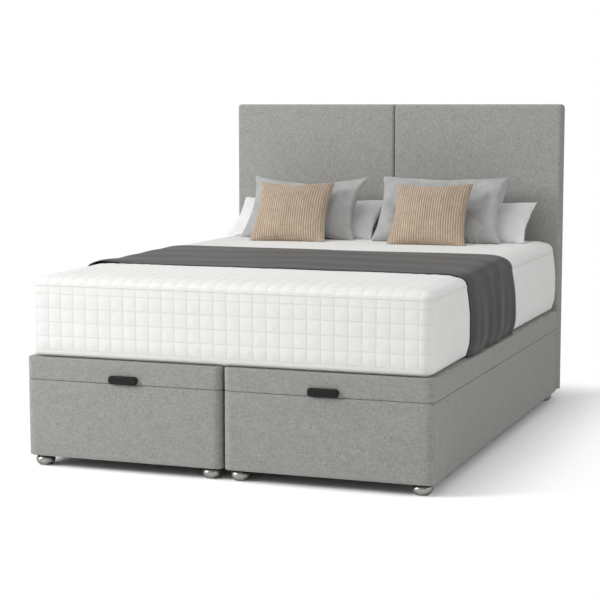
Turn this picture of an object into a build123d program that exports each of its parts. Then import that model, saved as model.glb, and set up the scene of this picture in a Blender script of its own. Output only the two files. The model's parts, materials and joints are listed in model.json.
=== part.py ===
from build123d import *
import math
import os

# Ottoman bed, king size: two storage halves side by side, two lids that lift together,
# a floor-length headboard, a mattress and its bedding.
# X runs across the bed, Y from the foot end to the head end, Z up from the floor.
# Lengths are in millimetres and angles in degrees.
# The model is drawn with y at zero on the foot face and moved to its origin when it is saved.

# Overall sizes
bed_width = 1500.0
bed_length = 2000.0
halves_gap = 7.0
foot_height = 39.0
seam_height = 313.0
lid_height = 80.0
seam_gap = 0.6
headboard_height = 1283.0
headboard_board_thickness = 20.0
headboard_pad_thickness = 50.0

# Timber, fabric and the clearances between pieces
cover_thickness = 2.0
panel_thickness = 15.0
floor_thickness = 6.0
lid_board_thickness = 9.0
post_width = 60.0
corner_radius = 28.0
rim_bevel = 3.0
soft_gap = 0.3
running_gap = 0.05
bolt_gap = 0.25
cut_overrun = 5.0

# Cross rails under each lid board
cross_rail_count = 3
cross_rail_width = 18.0
cross_rail_depth = 40.0

# Feet, four to a half
foot_diameter = 68.0
foot_sole_diameter = 40.0
foot_top_diameter = 48.0
foot_band_heights = (14.0, 27.0)
foot_side_inset = 50.0
foot_end_inset = 43.0

# Pull handles on the foot face of each lid
handle_width = 110.0
handle_height = 30.0
handle_depth = 14.0
handle_corner_radius = 12.0
handle_front_bevel = 4.0
handle_inward_shift = 8.75
handle_wall = 3.5
handle_recess_width = 80.0

# Bolts that join the lids, and those that hold the headboard
bolt_diameter = 8.0
bolt_head_width = 13.0
bolt_head_height = 5.5
lid_bolt_bays = (0, 2)
lid_bolt_height = 350.0
link_spacer_width = 24.0
headboard_bolt_height = 180.0
headboard_bolt_bite = 64.0

# Flat bars under the base that hold the halves together
link_bar_length = 160.0
link_bar_width = 40.0
link_bar_thickness = 3.0
link_bar_end_inset = 300.0

# Headboard rounding
headboard_corner_radius = 16.0
headboard_seam_radius = 6.0
headboard_seam_gap = 1.0

# Lift linkage in the side plane: how far each pivot stands before the head end, and its height
rear_base_place = (471.0, 110.0)
rear_lid_place = (175.0, 348.0)
front_base_place = (595.0, 95.0)
front_lid_place = (243.0, 340.0)
strut_base_place = (200.0, 68.0)
strut_lid_place = (80.0, 358.0)
plate_thickness = 3.0
arm_clearance = 1.0
arm_thickness = 5.0
arm_base_radius = 20.0
arm_lid_radius = 15.0
arm_slot_width = 11.0
arm_slot_end_gap = 22.0
pivot_pin_diameter = 10.0
pivot_head_width = 17.0
pivot_head_height = 3.0
open_pivot_gap = 4.2
open_pivot_washer_width = 24.0
base_plate_radius = 24.0
base_plate_tail_radius = 16.0
lid_plate_radius = 15.0
lid_plate_flange = 20.0

# Gas struts
strut_offset = 20.0
strut_tube_diameter = 20.0
strut_tube_start = 15.0
strut_tube_end = 255.0
strut_rod_diameter = 10.0
strut_rod_start = 35.0
strut_rod_inset = 15.0
strut_bore_start = 27.0
strut_eye_diameter = 18.0
strut_eye_thickness = 8.0
strut_stud_diameter = 8.0
strut_stud_head_width = 14.0
strut_stud_head_height = 2.5
strut_open_gap = 1.7

# Mattress
mattress_side_inset = 4.0
mattress_end_inset = 3.0
mattress_head_gap = 13.0
mattress_height = 300.7
mattress_corner_radius = 42.0
mattress_barrel_heights = (0.0, 36.0, 84.0, 140.0, 202.0, 256.0)
mattress_barrel_insets = (16.0, 6.0, 1.5, 0.0, 3.0, 10.0)
mattress_shoulder = 85.0
mattress_shoulder_steps = 5
piping_height = 256.0
piping_low_height = 18.0
piping_radius = 3.0

# Runner laid across the mattress
runner_near_y = 456.0
runner_far_y = 1146.0
runner_thickness = 3.0
runner_hem_height = 9.0
runner_fold_depth = 2.5
runner_fold_count = 3
runner_steps = 12

# Cushions and pillows: width, height and thickness
tan_size = (336.0, 316.0, 128.0)
grey_size = (545.0, 335.0, 92.0)
pillow_size = (690.0, 268.0, 100.0)
cushion_draw_share = 0.07
cushion_level_shares = (0.0, 0.32, 0.6, 0.82, 0.96)
cushion_side_points = 4

# Where each bedding piece stands: the middle of its lower edge, given as its place across the bed
# and its distance before the head end, then its turn and its lean
left_tan_place = ((-328.0, 490.0), 5.9, 37.6)
right_tan_place = ((283.0, 479.0), 3.9, 36.0)
left_grey_place = ((-346.0, 340.0), -1.6, 34.1)
right_grey_place = ((279.0, 337.0), 2.4, 37.0)
left_pillow_place = ((-367.0, 252.0), -2.1, 51.9)
right_pillow_place = ((306.0, 242.0), -1.5, 51.5)

# Sizes that follow from the ones above
half_width = (bed_width - halves_gap) / 2
half_low_x = halves_gap / 2
half_centre_x = half_low_x + half_width / 2
handle_centre_x = half_centre_x - handle_inward_shift
base_high = seam_height - seam_gap / 2
lid_low = seam_height + seam_gap / 2
lid_high = lid_low + lid_height
frame_inset = cover_thickness
wall_depth = cover_thickness + panel_thickness
inner_wall_x = half_low_x + wall_depth
outer_wall_x = half_low_x + half_width - wall_depth
frame_low = foot_height + cover_thickness
frame_high = base_high - cover_thickness
floor_high = frame_low + floor_thickness
lid_frame_low = lid_low + cover_thickness
lid_frame_high = lid_high - cover_thickness
lid_board_low = lid_frame_high - lid_board_thickness
headboard_depth = headboard_pad_thickness + headboard_board_thickness
origin_y = (bed_length + headboard_depth - handle_depth) / 2
mattress_width = bed_width - 2 * mattress_side_inset
mattress_low = lid_high + soft_gap
mattress_high = mattress_low + mattress_height


def save(name, shape):
    """Write one named piece, moved to the origin under the middle of the bed."""
    placed = Pos(0, -origin_y, 0) * shape
    export_step(placed, os.path.join("parts", name + ".step"))


def save_pair(name, right_shape):
    """Write a piece of the right half and its mirror image in the left half."""
    save("right_" + name, right_shape)
    save("left_" + name, mirror(right_shape, about=Plane.YZ))


def group(shapes):
    """Hold several separate solids as one node."""
    return Compound(children=list(shapes))


def span(x_range, y_range, z_range):
    """A block between two limits along each axis."""
    size = [high - low for low, high in (x_range, y_range, z_range)]
    low_corner = Pos(x_range[0], y_range[0], z_range[0])
    return low_corner * Box(*size, align=(Align.MIN, Align.MIN, Align.MIN))


def rounded_block(inset, low, high):
    """A half's outline drawn in by the inset, with its upright corners rounded."""
    outline = RectangleRounded(half_width - 2 * inset, bed_length - 2 * inset, corner_radius - inset)
    return Pos(half_centre_x, bed_length / 2, low) * extrude(outline, high - low)


def bevelled(block):
    """A block with its lower and upper rims bevelled."""
    rims = block.edges().group_by(Axis.Z)
    return chamfer(rims[0] + rims[-1], rim_bevel)


def rod_along_x(diameter, x_range, y, z):
    """A round bar parallel to X."""
    length = x_range[1] - x_range[0]
    bar = Cylinder(diameter / 2, length, align=(Align.CENTER, Align.CENTER, Align.MIN))
    return Pos(x_range[0], y, z) * Rot(0, 90, 0) * bar


def rod_along_y(diameter, x, y_range, z):
    """A round bar parallel to Y."""
    length = y_range[1] - y_range[0]
    bar = Cylinder(diameter / 2, length, align=(Align.CENTER, Align.CENTER, Align.MIN))
    return Pos(x, y_range[0], z) * Rot(-90, 0, 0) * bar


def hexagon_prism(width, height):
    """A hexagon nut or bolt head standing on the origin."""
    return extrude(RegularPolygon(width / 2, 6, major_radius=False), height)


# Base

def base_envelope():
    """The timber of one half of the base as a single block, before it is cut into boards."""
    return rounded_block(frame_inset, frame_low, frame_high)


def inner_opening(low, high):
    """The room inside the boards of one half."""
    return span((inner_wall_x, outer_wall_x), (wall_depth, bed_length - wall_depth), (low, high))


def foot_places():
    """Centres of the four feet of the right half."""
    xs = (half_low_x + foot_side_inset, half_low_x + half_width - foot_side_inset)
    ys = (foot_end_inset, bed_length - foot_end_inset)
    return [(x, y) for x in xs for y in ys]


def foot():
    """A flattened ball foot, turned in three bands from its sole to its top."""
    low, high = foot_band_heights
    bands = [
        (foot_sole_diameter / 2, 0),
        (foot_diameter / 2, low),
        (foot_diameter / 2, high),
        (foot_top_diameter / 2, frame_low),
    ]
    profile = Polyline((0, 0), *bands, (0, frame_low), close=True)
    return revolve(Plane.XZ * make_face(profile), Axis.Z)


def headboard_bolt_hole():
    """Clearance hole from the base's head board into the headboard, in the middle of the half."""
    start = bed_length - wall_depth - cut_overrun
    end = bed_length - wall_depth + headboard_bolt_bite + bolt_gap
    wide = bolt_diameter + 2 * bolt_gap
    return rod_along_y(wide, half_centre_x, (start, end), headboard_bolt_height)


def base_boards():
    """The four boards and four corner posts of one half, cut from one envelope."""
    envelope = base_envelope()
    low_x = half_low_x + frame_inset
    high_x = half_low_x + half_width - frame_inset
    low_y = frame_inset
    high_y = bed_length - frame_inset
    tall = (floor_high, frame_high)
    post_xs = ((low_x, low_x + post_width), (high_x - post_width, high_x))
    post_ys = ((low_y, low_y + post_width), (high_y - post_width, high_y))
    between_x = (low_x + post_width, high_x - post_width)
    between_y = (low_y + post_width, high_y - post_width)
    boards = {
        "foot_panel": span(between_x, (low_y, wall_depth), tall),
        "head_panel": span(between_x, (bed_length - wall_depth, high_y), tall) - headboard_bolt_hole(),
        "inner_side_panel": span((low_x, inner_wall_x), between_y, tall),
        "outer_side_panel": span((outer_wall_x, high_x), between_y, tall),
    }
    boards["corner_posts"] = group((span(x, y, tall) & envelope).solid() for x in post_xs for y in post_ys)
    boards["floor_board"] = span((low_x, high_x), (low_y, high_y), (frame_low, floor_high)) & envelope
    return boards


def base_cover():
    """Upholstery round one half of the base, turned in over the rim and under the floor."""
    outside = bevelled(rounded_block(0, foot_height, base_high))
    opening = inner_opening(foot_height - cut_overrun, base_high + cut_overrun)
    return outside - base_envelope() - opening - headboard_bolt_hole()


def link_bars():
    """Flat steel bars under the gap between the halves."""
    bar = Box(link_bar_length, link_bar_width, link_bar_thickness)
    middle_z = foot_height - link_bar_thickness / 2
    ys = (link_bar_end_inset, bed_length - link_bar_end_inset)
    return group([Pos(0, y, middle_z) * bar for y in ys])


# Headboard

def headboard_pad():
    """The right upholstered pad, with a tight seam at the middle and rounded outer edges."""
    low_x = headboard_seam_gap / 2
    y_range = (bed_length, bed_length + headboard_pad_thickness)
    pad = span((low_x, bed_width / 2), y_range, (foot_height, headboard_height))
    front = pad.faces().sort_by(Axis.Y)[0].edges()
    seam = front.sort_by(Axis.X)[0]
    outer = front.sort_by(Axis.X)[-1]
    top = front.sort_by(Axis.Z)[-1]
    corner = pad.edges().filter_by(Axis.Y).sort_by(lambda e: e.center().X + e.center().Z)[-1]
    pad = fillet([outer, top, corner], headboard_corner_radius)
    seam = pad.edges().filter_by(Axis.Z).sort_by(lambda e: e.center().X + e.center().Y)[0]
    pad = fillet(seam, headboard_seam_radius)
    return pad - headboard_bolt_hole()


def headboard_board():
    """The board behind the pads, as wide as the bed."""
    front_y = bed_length + headboard_pad_thickness
    board = span(
        (-bed_width / 2, bed_width / 2),
        (front_y, front_y + headboard_board_thickness),
        (foot_height, headboard_height),
    )
    top_corners = board.edges().filter_by(Axis.Y).group_by(Axis.Z)[-1]
    board = fillet(top_corners, headboard_corner_radius)
    hole = headboard_bolt_hole()
    return board - hole - mirror(hole, about=Plane.YZ)


def headboard_bolts():
    """Hexagon bolts from inside the box into the headboard, one to a half."""
    inside_y = bed_length - wall_depth
    reach = (inside_y, inside_y + headboard_bolt_bite)
    shank = rod_along_y(bolt_diameter, half_centre_x, reach, headboard_bolt_height)
    head = Rot(90, 0, 0) * hexagon_prism(bolt_head_width, bolt_head_height)
    bolt = shank + Pos(half_centre_x, inside_y, headboard_bolt_height) * head
    return group([bolt.solid(), mirror(bolt, about=Plane.YZ).solid()])


# Lids

def lid_envelope():
    """The timber of one lid as a single block, before it is cut into rails and board."""
    return rounded_block(frame_inset, lid_frame_low, lid_frame_high)


def lid_bolt_ys():
    """Places of the bolts that join the two lids, each midway between two cross rails."""
    bay = bed_length / (cross_rail_count + 1)
    return [bay * (number + 1 / 2) for number in lid_bolt_bays]


def lid_bolt_holes():
    """Clearance holes through the inner side rail and its cover."""
    wide = bolt_diameter + 2 * bolt_gap
    reach = (half_low_x - cut_overrun, inner_wall_x + cut_overrun)
    return [rod_along_x(wide, reach, y, lid_bolt_height) for y in lid_bolt_ys()]


def lid_frame():
    """Perimeter rails and cross rails of one lid, each a separate board."""
    envelope = lid_envelope()
    tall = (lid_frame_low, lid_board_low)
    low_x = half_low_x + frame_inset
    high_x = half_low_x + half_width - frame_inset
    far_y = bed_length - frame_inset
    inside_y = (wall_depth, bed_length - wall_depth)
    foot_rail = span((low_x, high_x), (frame_inset, wall_depth), tall) & envelope
    head_rail = span((low_x, high_x), (bed_length - wall_depth, far_y), tall) & envelope
    inner_rail = (span((low_x, inner_wall_x), inside_y, tall) & envelope) - lid_bolt_holes()
    outer_rail = span((outer_wall_x, high_x), inside_y, tall) & envelope
    rails = [foot_rail, head_rail, inner_rail, outer_rail]
    pitch = bed_length / (cross_rail_count + 1)
    for i in range(cross_rail_count):
        middle_y = pitch * (i + 1)
        width = (middle_y - cross_rail_width / 2, middle_y + cross_rail_width / 2)
        depth = (lid_board_low - cross_rail_depth, lid_board_low)
        rails.append(span((inner_wall_x, outer_wall_x), width, depth))
    return group(rail.solid() for rail in rails)


def lid_board():
    """The board that closes the top of one lid."""
    top = (lid_board_low, lid_frame_high)
    return span((0, bed_width), (0, bed_length), top) & lid_envelope()


def lid_cover():
    """Upholstery over one lid: sides, top and a turn-in round the lower rim."""
    outside = bevelled(rounded_block(0, lid_low, lid_high))
    opening = inner_opening(lid_low - cut_overrun, lid_frame_low + cut_overrun)
    return outside - lid_envelope() - opening - lid_bolt_holes()


def lid_link_bolts():
    """Bolts, nuts and spacers that hold the two lids together as one."""
    head = hexagon_prism(bolt_head_width, bolt_head_height)
    pieces = []
    for y in lid_bolt_ys():
        shank = rod_along_x(bolt_diameter, (-inner_wall_x, inner_wall_x), y, lid_bolt_height)
        head_end = Pos(inner_wall_x, y, lid_bolt_height) * Rot(0, 90, 0) * head
        nut_end = Pos(-inner_wall_x, y, lid_bolt_height) * Rot(0, -90, 0) * head
        spacer = Pos(0, y, lid_bolt_height) * Box(halves_gap, link_spacer_width, link_spacer_width)
        spacer -= rod_along_x(bolt_diameter + 2 * bolt_gap, (-bed_width, bed_width), y, lid_bolt_height)
        pieces += [(shank + head_end + nut_end).solid(), spacer.solid()]
    return group(pieces)


def handle():
    """A moulded pull with rounded ends, hollow behind its front and open below for the fingers."""
    outline = RectangleRounded(handle_width, handle_height, handle_corner_radius)
    body = extrude(Plane.XZ * outline, handle_depth)
    front = body.faces().sort_by(Axis.Y)[0]
    body = chamfer(front.edges(), handle_front_bevel)
    body = Pos(handle_centre_x, 0, lid_low + handle_height / 2) * body
    half_recess = handle_recess_width / 2
    recess = span(
        (handle_centre_x - half_recess, handle_centre_x + half_recess),
        (handle_wall - handle_depth, cut_overrun),
        (lid_low - cut_overrun, lid_low + handle_height - handle_wall),
    )
    return body - recess


# Lift linkage, drawn with x at zero on a board's inner face and growing into the box

def side_point(place):
    """The (y, z) of a pivot, from its distance before the head end and its height."""
    return (bed_length - place[0], place[1])


rear_base_pivot = side_point(rear_base_place)
rear_lid_pivot = side_point(rear_lid_place)
front_base_pivot = side_point(front_base_place)
front_lid_pivot = side_point(front_lid_place)
strut_base_pivot = side_point(strut_base_place)
strut_lid_pivot = side_point(strut_lid_place)
arm_start = plate_thickness + arm_clearance
arm_end = arm_start + arm_thickness
strut_angle = math.degrees(
    math.atan2(strut_lid_pivot[1] - strut_base_pivot[1], strut_lid_pivot[0] - strut_base_pivot[0])
)
strut_length = math.dist(strut_base_pivot, strut_lid_pivot)


def both_mechanisms(*pieces):
    """Place pieces on the inner and the outer side of the right half."""
    placed = []
    for piece in pieces:
        placed.append((Pos(inner_wall_x, 0, 0) * piece).solid())
        placed.append((Pos(outer_wall_x, 0, 0) * mirror(piece, about=Plane.YZ)).solid())
    return group(placed)


def side_plate(sketch, start, thickness):
    """A flat steel piece in the side plane, from its (y, z) outline."""
    return Pos(start, 0, 0) * extrude(Plane.YZ * sketch, thickness)


def round_hull(*discs):
    """The tight outline round several discs, each given as a centre and a radius."""
    rims = ShapeList()
    for centre, radius in discs:
        rims += (Pos(*centre) * Circle(radius)).edges()
    return make_hull(rims)


def holes_at(diameter, *centres):
    """Round holes of one diameter."""
    return [Pos(*centre) * Circle(diameter / 2) for centre in centres]


def between(start, end, share):
    """The point at a share of the way from start to end."""
    return tuple(a + (b - a) * share for a, b in zip(start, end))


def arm(base_pivot, lid_pivot, lid_hole_diameter):
    """A tapered link with a lightening slot and a pivot hole at each end."""
    outline = round_hull((base_pivot, arm_base_radius), (lid_pivot, arm_lid_radius))
    reach = math.dist(base_pivot, lid_pivot)
    slope = math.degrees(math.atan2(lid_pivot[1] - base_pivot[1], lid_pivot[0] - base_pivot[0]))
    slot_centres = reach - 2 * (arm_base_radius + arm_slot_end_gap)
    slot = Pos(*between(base_pivot, lid_pivot, 1 / 2)) * Rot(0, 0, slope)
    outline -= slot * SlotCenterToCenter(slot_centres, arm_slot_width)
    outline -= holes_at(pivot_pin_diameter + 2 * running_gap, base_pivot)
    outline -= holes_at(lid_hole_diameter, lid_pivot)
    return side_plate(outline, arm_start, arm_thickness)


def rear_arm():
    """The rear link, whose lid pivot is a running fit."""
    return arm(rear_base_pivot, rear_lid_pivot, pivot_pin_diameter + 2 * running_gap)


def front_arm():
    """The front link, whose lid pivot has extra room."""
    return arm(front_base_pivot, front_lid_pivot, pivot_pin_diameter + 2 * open_pivot_gap)


def base_plate():
    """The plate on the base's side board that carries both links and the strut."""
    outline = round_hull(
        (front_base_pivot, base_plate_radius),
        (rear_base_pivot, base_plate_radius),
        (strut_base_pivot, base_plate_tail_radius),
    )
    return side_plate(outline, 0, plate_thickness)


def lid_plate():
    """The angle under the lid that hangs on both links and the strut."""
    outline = round_hull(
        (front_lid_pivot, lid_plate_radius),
        (rear_lid_pivot, lid_plate_radius),
        (strut_lid_pivot, lid_plate_radius),
    )
    start_y = front_lid_pivot[0] - lid_plate_radius
    end_y = strut_lid_pivot[0] + lid_plate_radius
    middle = ((start_y + end_y) / 2, (rear_lid_pivot[1] + lid_board_low) / 2)
    outline += Pos(*middle) * Rectangle(end_y - start_y, lid_board_low - rear_lid_pivot[1])
    flange = span((0, lid_plate_flange), (start_y, end_y), (lid_board_low - plate_thickness, lid_board_low))
    return side_plate(outline, 0, plate_thickness) + flange


def hexagon_stud(diameter, head_range, head_width, centre):
    """A stud welded to a plate, with a hexagon head between two distances from the board."""
    head_start, head_end = head_range
    head = Rot(0, 90, 0) * hexagon_prism(head_width, head_end - head_start)
    return rod_along_x(diameter, (plate_thickness, head_start), *centre) + Pos(head_start, *centre) * head


def pivot_pin(centre, head_width):
    """A pivot pin that stands on a plate and holds a link."""
    head_start = arm_end + running_gap
    return hexagon_stud(pivot_pin_diameter, (head_start, head_start + pivot_head_height), head_width, centre)


def strut_stud(centre):
    """A longer stud that carries one end of a gas strut."""
    head_start = strut_offset + strut_eye_thickness / 2 + running_gap
    head_range = (head_start, head_start + strut_stud_head_height)
    return hexagon_stud(strut_stud_diameter, head_range, strut_stud_head_width, centre)


def strut_eye(distance, root, hole_diameter):
    """A flat end fitting on the strut's axis, with a straight tongue from its eye to its root."""
    outline = Pos(distance, 0) * Circle(strut_eye_diameter / 2)
    outline += Pos((distance + root) / 2, 0) * Rectangle(abs(distance - root), strut_eye_diameter)
    outline -= holes_at(hole_diameter, (distance, 0))
    return side_plate(outline, -strut_eye_thickness / 2, strut_eye_thickness)


def along_strut(piece):
    """Turn a piece drawn along Y onto the strut's axis."""
    return Pos(strut_offset, *strut_base_pivot) * Rot(strut_angle, 0, 0) * piece


def strut_tube():
    """The cylinder of a gas strut, bored for its rod, with its lower eye."""
    tube = rod_along_y(strut_tube_diameter, 0, (strut_tube_start, strut_tube_end), 0)
    bore = (strut_bore_start, strut_tube_end + cut_overrun)
    tube -= rod_along_y(strut_rod_diameter + 2 * running_gap, 0, bore, 0)
    eye = strut_eye(0, strut_tube_start, strut_stud_diameter + 2 * running_gap)
    return along_strut(tube + eye)


def strut_rod():
    """The rod of a gas strut, with an upper eye that has extra room."""
    rod_end = strut_length - strut_rod_inset
    rod = rod_along_y(strut_rod_diameter, 0, (strut_rod_start, rod_end), 0)
    eye = strut_eye(strut_length, rod_end, strut_stud_diameter + 2 * strut_open_gap)
    return along_strut(rod + eye)


# Mattress

def mattress_levels():
    """Heights above the mattress's underside, and how far its sides are drawn in there."""
    levels = list(zip(mattress_barrel_heights, mattress_barrel_insets))
    shoulder_start, shoulder_inset = levels[-1]
    shoulder_height = mattress_height - shoulder_start
    for i in range(mattress_shoulder_steps):
        angle = math.radians(90 * (i + 1) / mattress_shoulder_steps)
        rise = shoulder_start + shoulder_height * math.sin(angle)
        levels.append((rise, shoulder_inset + mattress_shoulder * (1 - math.cos(angle))))
    return levels


def mattress_outline(inset, extra=0):
    """The mattress's outline, drawn in by the inset."""
    length = bed_length - mattress_end_inset - mattress_head_gap
    radius = max(mattress_corner_radius - inset, mattress_corner_radius / 3)
    grown = RectangleRounded(
        mattress_width - 2 * inset + 2 * extra,
        length - 2 * inset + 2 * extra,
        radius + extra,
    )
    return Pos(0, mattress_end_inset + length / 2) * grown


def mattress():
    """The mattress, with sides that swell like a barrel and a broad rounded shoulder."""
    sections = [Pos(0, 0, mattress_low + rise) * mattress_outline(inset) for rise, inset in mattress_levels()]
    return loft(sections, ruled=True)


def inset_at(height):
    """How far the mattress's side is drawn in at a height above its underside."""
    levels = mattress_levels()
    for (low, low_inset), (high, high_inset) in zip(levels, levels[1:]):
        if low <= height <= high:
            return low_inset + (high_inset - low_inset) * (height - low) / (high - low)
    return levels[-1][1]


def piping_ring(height):
    """A square-edged cord sewn round the mattress at one height."""
    inset = min(inset_at(height - piping_radius), inset_at(height + piping_radius))
    outer = mattress_outline(0, piping_radius + soft_gap - inset)
    inner = mattress_outline(0, soft_gap - inset)
    return Pos(0, 0, mattress_low + height - piping_radius) * extrude(outer - inner, 2 * piping_radius)


def mattress_piping():
    """The cords along the upper and lower seams of the mattress border."""
    return group([piping_ring(piping_low_height).solid(), piping_ring(piping_height).solid()])


# Bedding

def runner_room(rise):
    """Room between mattress and runner: full over the piping, closing towards the top."""
    full_to = piping_height + 2 * piping_radius
    share = min(1, (mattress_height - rise) / (mattress_height - full_to))
    return soft_gap + 2 * piping_radius * share


def runner_fold(y, rise):
    """How far the hanging cloth stands out in soft folds, most at its hem."""
    turn = math.pi * runner_fold_count * (y - runner_near_y) / (runner_far_y - runner_near_y)
    return runner_fold_depth * (1 - rise / mattress_height) * (1 + math.cos(turn)) / 2


def runner_side(y):
    """Inner points of one hanging side, from its hem up to the flat top: (x, z)."""
    levels = [level for level in mattress_levels() if level[0] > runner_hem_height]
    levels.insert(0, (runner_hem_height, inset_at(runner_hem_height)))
    points = []
    for rise, inset in levels:
        x = mattress_width / 2 - inset + runner_room(rise) + runner_fold(y, rise)
        points.append((x, mattress_low + rise + soft_gap))
    return points


def offset_line(points, distance):
    """An open line of points moved sideways by a distance, with mitred corners."""
    moved = []
    for i, (x, z) in enumerate(points):
        before = points[max(i - 1, 0)]
        after = points[min(i + 1, len(points) - 1)]
        first = math.atan2(z - before[1], x - before[0])
        second = math.atan2(after[1] - z, after[0] - x)
        first = second if before == (x, z) else first
        second = first if after == (x, z) else second
        middle = (first + second) / 2
        reach = distance / math.cos((second - first) / 2)
        moved.append((x - reach * math.sin(middle), z + reach * math.cos(middle)))
    return moved


def runner_section(y):
    """The runner's closed outline across the bed at one place along it."""
    right = runner_side(y)
    left = [(-x, z) for x, z in right]
    inner = left + right[::-1]
    outer = offset_line(inner, runner_thickness)
    outline = make_face(Polyline(*inner, *outer[::-1], close=True))
    return Plane.XZ.offset(-y) * outline


def runner():
    """A cloth laid across the mattress, hanging down both sides in soft folds."""
    pitch = (runner_far_y - runner_near_y) / runner_steps
    return loft([runner_section(runner_near_y + pitch * i) for i in range(runner_steps + 1)], ruled=True)


def cushion_ring(size, level_share):
    """Corners of a cushion's outline at a share of its half thickness: pointed, with drawn-in sides."""
    scale_share = math.sqrt(1 - level_share**2)
    points = []
    for quarter in range(4):
        for i in range(cushion_side_points):
            along = i / cushion_side_points
            out = 1 - 4 * cushion_draw_share * along * (1 - along)
            x, y = 2 * along - 1, -out
            for turn in range(quarter):
                x, y = -y, x
            across, up = x * scale_share, y * scale_share
            points.append((across * size[0] / 2, up * size[1] / 2, level_share * size[2] / 2))
    return points


def cushion(size):
    """A filled cushion with a crowned face on both sides of its seam, in flat facets."""
    below = [-share for share in cushion_level_shares[:0:-1]]
    rings = [cushion_ring(size, share) for share in below + list(cushion_level_shares)]
    faces = [Face(Wire.make_polygon(ring)) for ring in (rings[0], rings[-1])]
    for low, high in zip(rings, rings[1:]):
        for i in range(len(low)):
            corners = (low[i - 1], low[i], high[i], high[i - 1])
            faces.append(Face(Wire.make_polygon(corners)))
    return Solid(Shell(faces))


def leaning(size, place):
    """A cushion that stands on its lower edge on the mattress and leans back."""
    (x, before_head), turn, lean = place
    upright = Rot(0, 0, turn) * Rot(90 - lean, 0, 0) * Pos(0, size[1] / 2, 0)
    shape = Pos(x, bed_length - before_head, 0) * upright * cushion(size)
    lowest = shape.bounding_box().min.Z
    return Pos(0, 0, mattress_high + soft_gap - lowest) * shape


# Write every piece

os.makedirs("parts", exist_ok=True)

boards = base_boards()
for board_name, board in boards.items():
    save_pair(board_name, board)
save_pair("base_cover", base_cover())
save_pair("feet", group((Pos(x, y, 0) * foot()).solid() for x, y in foot_places()))
save("linking_bars", link_bars())

save("headboard_board", headboard_board())
save_pair("headboard_pad", headboard_pad())
save("headboard_bolts", headboard_bolts())

save_pair("lid_frame", lid_frame())
save_pair("lid_board", lid_board())
save_pair("lid_cover", lid_cover())
save("lid_link_bolts", lid_link_bolts())
save_pair("pull_handle", handle())

save_pair("base_hinge_plates", both_mechanisms(base_plate()))
save_pair("lid_hinge_plates", both_mechanisms(lid_plate()))
save_pair("rear_lift_arms", both_mechanisms(rear_arm()))
save_pair("front_lift_arms", both_mechanisms(front_arm()))
save_pair("strut_tubes", both_mechanisms(strut_tube()))
save_pair("strut_rods", both_mechanisms(strut_rod()))

save_pair(
    "base_pivot_pins",
    both_mechanisms(
        pivot_pin(front_base_pivot, pivot_head_width),
        pivot_pin(rear_base_pivot, pivot_head_width),
        strut_stud(strut_base_pivot),
    ),
)
save_pair(
    "lid_pivot_pins",
    both_mechanisms(
        pivot_pin(front_lid_pivot, open_pivot_washer_width),
        pivot_pin(rear_lid_pivot, pivot_head_width),
        strut_stud(strut_lid_pivot),
    ),
)

save("mattress", mattress())
save("mattress_piping", mattress_piping())
save("bed_runner", runner())
save("left_pillow", leaning(pillow_size, left_pillow_place))
save("right_pillow", leaning(pillow_size, right_pillow_place))
save("left_grey_cushion", leaning(grey_size, left_grey_place))
save("right_grey_cushion", leaning(grey_size, right_grey_place))
save("left_tan_cushion", leaning(tan_size, left_tan_place))
save("right_tan_cushion", leaning(tan_size, right_tan_place))
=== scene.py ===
import bpy
import bmesh
import json
import math
import numpy as np
from mathutils import Euler, Matrix, Vector

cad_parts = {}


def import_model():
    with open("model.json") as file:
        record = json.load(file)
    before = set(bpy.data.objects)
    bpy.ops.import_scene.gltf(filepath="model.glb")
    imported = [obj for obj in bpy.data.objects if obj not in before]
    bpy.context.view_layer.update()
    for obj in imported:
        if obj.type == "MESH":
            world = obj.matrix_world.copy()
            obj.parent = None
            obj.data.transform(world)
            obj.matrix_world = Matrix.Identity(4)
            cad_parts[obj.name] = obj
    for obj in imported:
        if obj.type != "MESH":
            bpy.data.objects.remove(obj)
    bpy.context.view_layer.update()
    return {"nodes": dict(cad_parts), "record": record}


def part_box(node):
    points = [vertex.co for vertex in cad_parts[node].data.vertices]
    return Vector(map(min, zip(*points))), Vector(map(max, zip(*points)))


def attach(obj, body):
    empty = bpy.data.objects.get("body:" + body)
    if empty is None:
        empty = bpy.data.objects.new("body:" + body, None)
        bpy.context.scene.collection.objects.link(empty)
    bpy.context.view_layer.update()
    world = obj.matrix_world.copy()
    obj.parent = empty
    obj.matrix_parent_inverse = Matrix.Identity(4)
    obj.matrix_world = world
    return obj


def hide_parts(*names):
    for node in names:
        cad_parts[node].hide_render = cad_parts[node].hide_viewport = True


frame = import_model()

# Sizes in metres. Y is counted from the foot face of the base in the sizes below.
FOOT_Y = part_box("left_base_cover")[0].y
HALF_LOW_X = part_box("right_base_cover")[0].x
HALF_HIGH_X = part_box("right_base_cover")[1].x
BASE_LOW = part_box("right_base_cover")[0].z
BASE_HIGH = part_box("right_base_cover")[1].z
LID_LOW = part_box("right_lid_cover")[0].z
LID_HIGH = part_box("right_lid_cover")[1].z
BED_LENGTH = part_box("right_base_cover")[1].y - FOOT_Y
BED_HALF_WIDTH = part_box("right_base_cover")[1].x
WELD_DISTANCE = 1e-6
SKIN = 0.002
WALL_DEPTH = 0.017
CORNER_RADIUS = 0.028
RIM_RADIUS = 0.0045
TURN_OVER = 0.035
COVER_SPACING = 0.012
PAD_SPACING = 0.011
PAD_EDGE = 0.014
PAD_CORNER = 0.012
PAD_CROWN = 0.0045
PAD_RIPPLE = 0.0007
MATTRESS_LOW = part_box("mattress")[0].z
MATTRESS_HALF_WIDTH = 0.746
MATTRESS_FOOT = 0.003
MATTRESS_HEAD = 1.987
QUILT_PITCH = 0.0483
QUILT_START = 0.0185
ROW_PITCH = 0.0495
FIRST_ROW = 0.0275
CHANNEL_WIDTH = 0.011
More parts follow.
